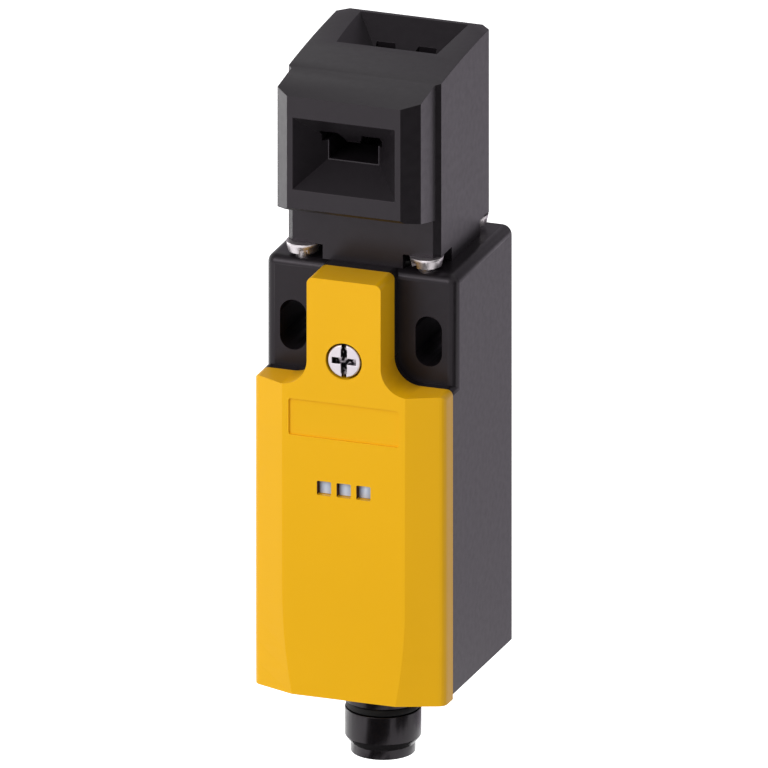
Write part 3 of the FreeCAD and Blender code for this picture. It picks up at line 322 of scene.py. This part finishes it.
def screw_face():
    """Bright cover screw, with painted shade in the slots of its head and round its rim."""
    low, high = corners("cover_screw")
    s = Shader("screw_face")
    x, y, z = s.place(((low.x + high.x) / 2, low.y, (low.z + high.z) / 2))
    square = s.calc("ADD", s.calc("MULTIPLY", x, x), s.calc("MULTIPLY", z, z))
    edge = (high.x - low.x) / 2
    # painted shade: dark in the head's slots and in a thin ring round its rim
    rim = s.step(s.calc("POWER", square, 0.5), edge - RIM_SHADE * MM, edge)
    dark = s.calc("MAXIMUM", s.band(y, scaled(SLOT_FRONT), scaled(HEAD_BACK)), rim)
    slot_shade_colour = s.mix(s.ramp(s.noise(1700, 0), *SPOTS), srgb(12, 10, 12), srgb(150, 143, 148))
    return brush(s, s.mix(dark, srgb(208, 200, 206), slot_shade_colour), SCREW_ROUGH, SCREW_SCRATCH,
                 SCREW_LINES, along=(1, 1, 6))


def across_window(s):
    """How far a point is from the middle of its window, and the pitch of the windows."""
    pitch = corners("led_right")[0].x - corners("led_middle")[0].x
    low, high = corners("light_guide")
    x = s.place(((low.x + high.x) / 2 - PINGPONG_START * pitch, 0, 0))[0]
    return s.calc("PINGPONG", x, pitch / 2), pitch


def lens_material():
    """Milky light guide, its own pale colour in the middle of each window, with painted shade
    darkening it towards its sides.
    """
    s = Shader("lens")
    away, pitch = across_window(s)
    y = s.place((0, corners("light_guide")[0].y, 0))[1]
    front = s.step(y, *scaled(LENS_BACK))
    # painted shade across each window, only near the light guide's front
    side = s.fill(s.node("ShaderNodeValToRGB"),
                  Fac=s.calc("MULTIPLY", s.step(away, 0.0, pitch / 2), front))
    stops = side.color_ramp.elements
    stops.remove(stops[1])
    stops[0].position, stops[0].color = LENS_STOPS[0]
    for position, colour in LENS_STOPS[1:]:
        stops.new(position).color = colour
    s.surface(Base_Color=side.outputs["Color"],
              Roughness=s.ramp(s.noise(900, 3), 0.16, 0.30),
              Coat_Weight=0.4, Coat_Roughness=0.08,
              Normal=s.bump(s.noise(1200, 2), 0.006 * MM, strength=0.3))
    return s.mat


def cover_material():
    """Yellow plastic, with painted shade on the side walls of the three windows."""
    s = Shader(material=moulded("cover_plastic", srgb(241, 181, 13), 0.36, gloss=0.2,
                                mottle=0.012))
    yellow = s.bsdf.inputs["Base Color"].links[0].from_socket
    away, pitch = across_window(s)
    low, high = corners("light_guide")
    x, y, z = s.place(((low.x + high.x) / 2, corners("cover")[0].y, (low.z + high.z) / 2))
    # painted shade: the windows' side walls turn dark brown
    wall = s.band(away, scaled(WALL_START, pitch), scaled(WALL_END, pitch))
    reach = s.step(s.calc("ABSOLUTE", x, 0), *scaled(ROW_END, pitch))
    row = s.band(z, scaled(WALL_TOP, -MM), scaled(WALL_TOP))
    depth = s.band(y, scaled(WALL_FRONT), scaled(WALL_BACK))
    wall_shade_mask = s.calc("MINIMUM", s.calc("MINIMUM", wall, reach), s.calc("MINIMUM", row, depth))
    s.surface(Base_Color=s.mix(wall_shade_mask, yellow, srgb(70, 30, 4)))
    return s.mat


def board_material():
    """Green solder mask over a woven core, slightly paler over the copper."""
    s = Shader("board")
    green = s.mix(s.ramp(s.noise(300, 1), 0, 1), srgb(14, 84, 44), srgb(20, 98, 52))
    s.surface(Base_Color=green, Roughness=s.ramp(s.noise(2500, 2), 0.24, 0.34),
              Normal=s.bump(s.noise(4000, 1, (1, 1, 3)), 0.004 * MM, strength=0.5))
    return s.mat


BLACK = srgb(23, 20, 23)
COOL = (1.0, 0.91, 1.0)             # slight violet cast of the black mouldings
MATERIALS = {
    "housing_plastic": moulded("housing_plastic", BLACK, 0.34, gloss=0.25, tint=COOL),
    "head_plastic": moulded("head_plastic", BLACK, 0.34, gloss=0.29, tint=COOL),
    "cover_plastic": cover_material(),
    "rubber": moulded("rubber", srgb(19, 18, 19), 0.62, COARSE_GRAIN, gloss=0.2),
    "zinc_steel": metal("zinc_steel", srgb(188, 182, 185), 0.36),
    "plunger_steel": metal("plunger_steel", srgb(190, 190, 192), 0.20),
    "spring_steel": metal("spring_steel", srgb(180, 180, 180), 0.28),
    "brass": metal("brass", srgb(214, 178, 96), 0.26),
    "contact_brass": metal("contact_brass", srgb(216, 182, 112), 0.30, along=(14, 1, 1)),
    "pin_gold": metal("pin_gold", srgb(232, 196, 110), 0.18),
    "nut_brass": metal("nut_brass", srgb(206, 202, 188), 0.26, along=(1, 1, 1)),
    "lens": lens_material(),
    "cam_plastic": moulded("cam_plastic", srgb(34, 33, 35), 0.45, gloss=0.2),
    "bearing_plastic": moulded("bearing_plastic", srgb(30, 30, 31), 0.50, gloss=0.2),
    "block_plastic": moulded("block_plastic", srgb(74, 75, 78), 0.48, COARSE_GRAIN),
    "cap_plastic": moulded("cap_plastic", srgb(214, 210, 198), 0.42),
    "board": board_material(),
    "led": moulded("led", srgb(232, 230, 220), 0.18, FINE_GRAIN, gloss=0.5),
    "plug_plastic": moulded("plug_plastic", srgb(20, 18, 20), 0.24, FINE_GRAIN, gloss=0.34,
                            tint=COOL),
    "insert_plastic": moulded("insert_plastic", srgb(24, 24, 25), 0.42),
    "wire_red": moulded("wire_red", srgb(178, 30, 24), 0.38, gloss=0.5),
    "wire_blue": moulded("wire_blue", srgb(34, 66, 170), 0.38, gloss=0.5),
}
SCREW_FACE = screw_face()

# ------------------------------------------------------------------ CAD nodes that stay
# edge softening in mm: wide where edges catch light, small elsewhere
SOFT_EDGES = {"housing": 0.10, "head_body": 0.07, "cover": 0.12, "cover_screw": 0.08,
              "connector_shell": 0.12}
SMALL_EDGE = 0.05
SHARP_ANGLE = math.radians(32)
FLAT_ANGLE = math.radians(0.6)      # faces this close to one plane are joined
WELD_GAP = 0.002 * MM
WIRE_LEVELS = 2


def bevel(obj, width, segments):
    soft = obj.modifiers.new("soft", "BEVEL")
    soft.width = width * MM
    soft.segments = segments
    soft.limit_method = "ANGLE"
    soft.angle_limit = SHARP_ANGLE
    soft.harden_normals = True


def dress_cad():
    """Give each CAD node its material, whole flat faces and soft edges."""
    slots = {s["node"]: s["material_slot"] for s in frame["record"]["subparts"]}
    for name, obj in NODES.items():
        obj.data.materials.clear()
        face = SCREW_FACE if name == "cover_screw" else MATERIALS[slots[name]]
        obj.data.materials.append(face)
        weld = obj.modifiers.new("weld", "WELD")
        weld.merge_threshold = WELD_GAP
        flat = obj.modifiers.new("flat", "DECIMATE")
        flat.decimate_type = "DISSOLVE"
        flat.angle_limit = FLAT_ANGLE
        if name.startswith("wire_"):
            smooth = obj.modifiers.new("smooth", "SUBSURF")
            smooth.levels = smooth.render_levels = WIRE_LEVELS
        elif name in SOFT_EDGES:
            bevel(obj, SOFT_EDGES[name], segments=3)
        else:
            bevel(obj, SMALL_EDGE, segments=1)


# ------------------------------------------------------------------ springs
CLOSED = 1.0                        # closed turns at each end
CLOSED_PITCH = 0.9                  # pitch of a closed turn, in wire thicknesses
WIRE_SIDES = 10
TURN_STEPS = 28
SQUARE = math.sqrt(math.pi) / 2     # half side of a square section, for a round wire's area


def spring(name, node, wire, turns):
    """Round-wire compression spring with closed ends, in place of the CAD one."""
    low, high = corners(node)
    middle = (low + high) / 2
    radius = wire * MM
    coil = (high.x - low.x) / 2 - radius * SQUARE
    bottom, top = low.z + radius, high.z - radius
    tight = 2 * radius * CLOSED_PITCH
    open_pitch = (top - bottom - 2 * CLOSED * tight) / (turns - 2 * CLOSED)

    def height(turn):
        """Height after so many turns: closed ones, the open ones, closed ones."""
        if turn < CLOSED:
            return bottom + turn * tight
        if turn > turns - CLOSED:
            return top - (turns - turn) * tight
        return bottom + CLOSED * tight + (turn - CLOSED) * open_pitch

    bm = bmesh.new()
    rings = []
    for i in range(turns * TURN_STEPS + 1):
        turn = i / TURN_STEPS
        a = 2 * math.pi * turn
        out = Vector((math.cos(a), math.sin(a), 0))
        centre = Vector((middle.x, middle.y, height(turn))) + out * coil
        rings.append([bm.verts.new(centre + out * radius * math.cos(b)
                                   + Vector((0, 0, radius * math.sin(b))))
                      for b in (2 * math.pi * k / WIRE_SIDES for k in range(WIRE_SIDES))])
    for one, two in zip(rings, rings[1:]):
        for k in range(WIRE_SIDES):
            after = (k + 1) % WIRE_SIDES
            bm.faces.new((one[k], one[after], two[after], two[k]))
    bm.faces.new(rings[0][::-1])
    bm.faces.new(rings[-1])
    for face in bm.faces:
        face.smooth = len(face.verts) == 4
    bmesh.ops.recalc_face_normals(bm, faces=bm.faces)
    mesh = bpy.data.meshes.new(name)
    bm.to_mesh(mesh)
    bm.free()
    mesh.materials.append(MATERIALS["spring_steel"])
    piece = add_object(name, mesh)
    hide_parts(node)
    return piece


def add_springs():
    """The two long springs stay fixed where they are; the contact springs go with the carrier."""
    piece = spring("plunger_coil", "plunger_spring", wire=0.35, turns=5)
    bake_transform(piece)
    piece = spring("carrier_coil", "carrier_spring", wire=0.25, turns=5)
    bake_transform(piece)
    for level in ("upper", "lower"):
        piece = spring("contact_coil_" + level, "contact_spring_" + level, wire=0.2, turns=6)
        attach(piece, "carrier")


# ------------------------------------------------------------------ indicator board
CHIP_WIDTH, CHIP_THICK, CHIP_LENGTH = scaled((0.8, 0.4, 1.6))
CHIP_DROP = 2.4 * MM                # a chip's middle below its lamp's
TIN_LENGTH, TIN_SWELL = scaled((0.32, 0.03))


def add_resistors():
    """Series resistors under the three lamps: ceramic bodies between tinned ends."""
    front = corners("led_board")[0].y
    end = (CHIP_LENGTH - TIN_LENGTH) / 2
    boxes = (               # middle along the chip, length, swell, material
        (0, CHIP_LENGTH - 2 * TIN_LENGTH, 0, 0),
        (-end, TIN_LENGTH, TIN_SWELL, 1),
        (end, TIN_LENGTH, TIN_SWELL, 1),
    )
    bm = bmesh.new()
    for lamp in ("led_left", "led_middle", "led_right"):
        low, high = corners(lamp)
        middle = (low + high) / 2
        for along, length, swell, index in boxes:
            thick = CHIP_THICK + swell
            made = bmesh.ops.create_cube(bm, size=1.0)["verts"]
            bmesh.ops.scale(bm, vec=(CHIP_WIDTH + 2 * swell, thick, length), verts=made)
            bmesh.ops.translate(bm, verts=made, vec=(
                middle.x, front - thick / 2, middle.z - CHIP_DROP + along))
            for face in {f for v in made for f in v.link_faces}:
                face.material_index = index
    mesh = bpy.data.meshes.new("series_resistors")
    bm.to_mesh(mesh)
    bm.free()
    mesh.materials.append(moulded("ceramic", srgb(28, 28, 30), 0.3, gloss=0.5))
    mesh.materials.append(metal("tin", srgb(190, 190, 186), 0.34))
    piece = add_object("series_resistors", mesh)
    bevel(piece, SMALL_EDGE, segments=2)
    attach(piece, "base")


# ------------------------------------------------------------------ stage
def add_floor():
    """Floor that is white when seen or reflected, and a plain diffuse surface for the light."""
    s = Shader("floor")
    s.surface(Base_Color=FLOOR_GREY, Roughness=0.9, Specular_IOR_Level=0.0,
              Emission_Color=WHITE + (1,),
              Emission_Strength=s.seen_by("Is Camera Ray", "Is Glossy Ray"))
    floor = add_card("floor", 2 * FLOOR_REACH, 2 * FLOOR_REACH, s.mat)
    floor.location.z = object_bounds()[0][2] - FLOOR_DROP


def set_world():
    """World that is white when seen, reflected or seen through, and dimmer as a light."""
    world = bpy.data.worlds.new("world")
    bpy.context.scene.world = world
    world.use_nodes = True
    n = Nodes(world.node_tree)
    seen = n.seen_by("Is Camera Ray", "Is Glossy Ray", "Is Transmission Ray")
    n.fill(n.tree.nodes["Background"], Color=WHITE + (1,),
           Strength=n.step(seen, 0.0, 1.0, WORLD_LIGHT, 1.0))


def add_flag(name, direction, distance, size, level, aim=(0, 0, 0), colour=WHITE):
    """Studio flag: a card that shows only in reflections, from black (0) to white (1)."""
    s = Shader(name)
    s.surface(Base_Color=BLACK_CARD, Specular_IOR_Level=0.0, Emission_Color=colour + (1,),
              Emission_Strength=level)
    card = add_card(name, *size, s.mat)
    face_part(card, Vector(direction).normalized(), distance, "Z", aim)
    card.visible_camera = card.visible_diffuse = card.visible_shadow = False
    card.visible_transmission = False


dress_cad()
add_springs()
add_resistors()

bpy.context.scene.view_settings.view_transform = "Standard"
add_floor()
set_world()
add_area("key", (-0.45, -1.0, 0.62), distance=0.9, size=(0.5, 0.5), power=4.6)
add_area("left_strip", (-0.90, 0.32, -0.30), distance=0.5, size=(0.10, 0.7), power=0.8)
add_flag("flag_right", (0.88, -0.32, -0.30), distance=0.30, size=(0.22, 0.5), level=0.08)
add_flag("flag_back_low", (0.25, 0.90, 0.0), distance=0.20, size=(0.44, 0.20), level=0.84,
         aim=(0, 0, -100), colour=VIOLET)
add_flag("flag_back_high", (0.25, 0.90, 0.0), distance=0.20, size=(0.44, 0.20), level=0.36,
         aim=(0, 0, 100), colour=VIOLET)
add_flag("flag_top", (-0.32, -0.34, 0.88), distance=0.35, size=(0.45, 0.35), level=0.40)
add_flag("flag_low", (-0.32, -0.88, -0.34), distance=0.12, size=(0.16, 0.095), level=0.0,
         aim=(64, -8, -38))
add_flag("flag_floor", (0.0, 0.0, -1.0), distance=0.12, size=(0.14, 0.14), level=0.1)
add_camera()
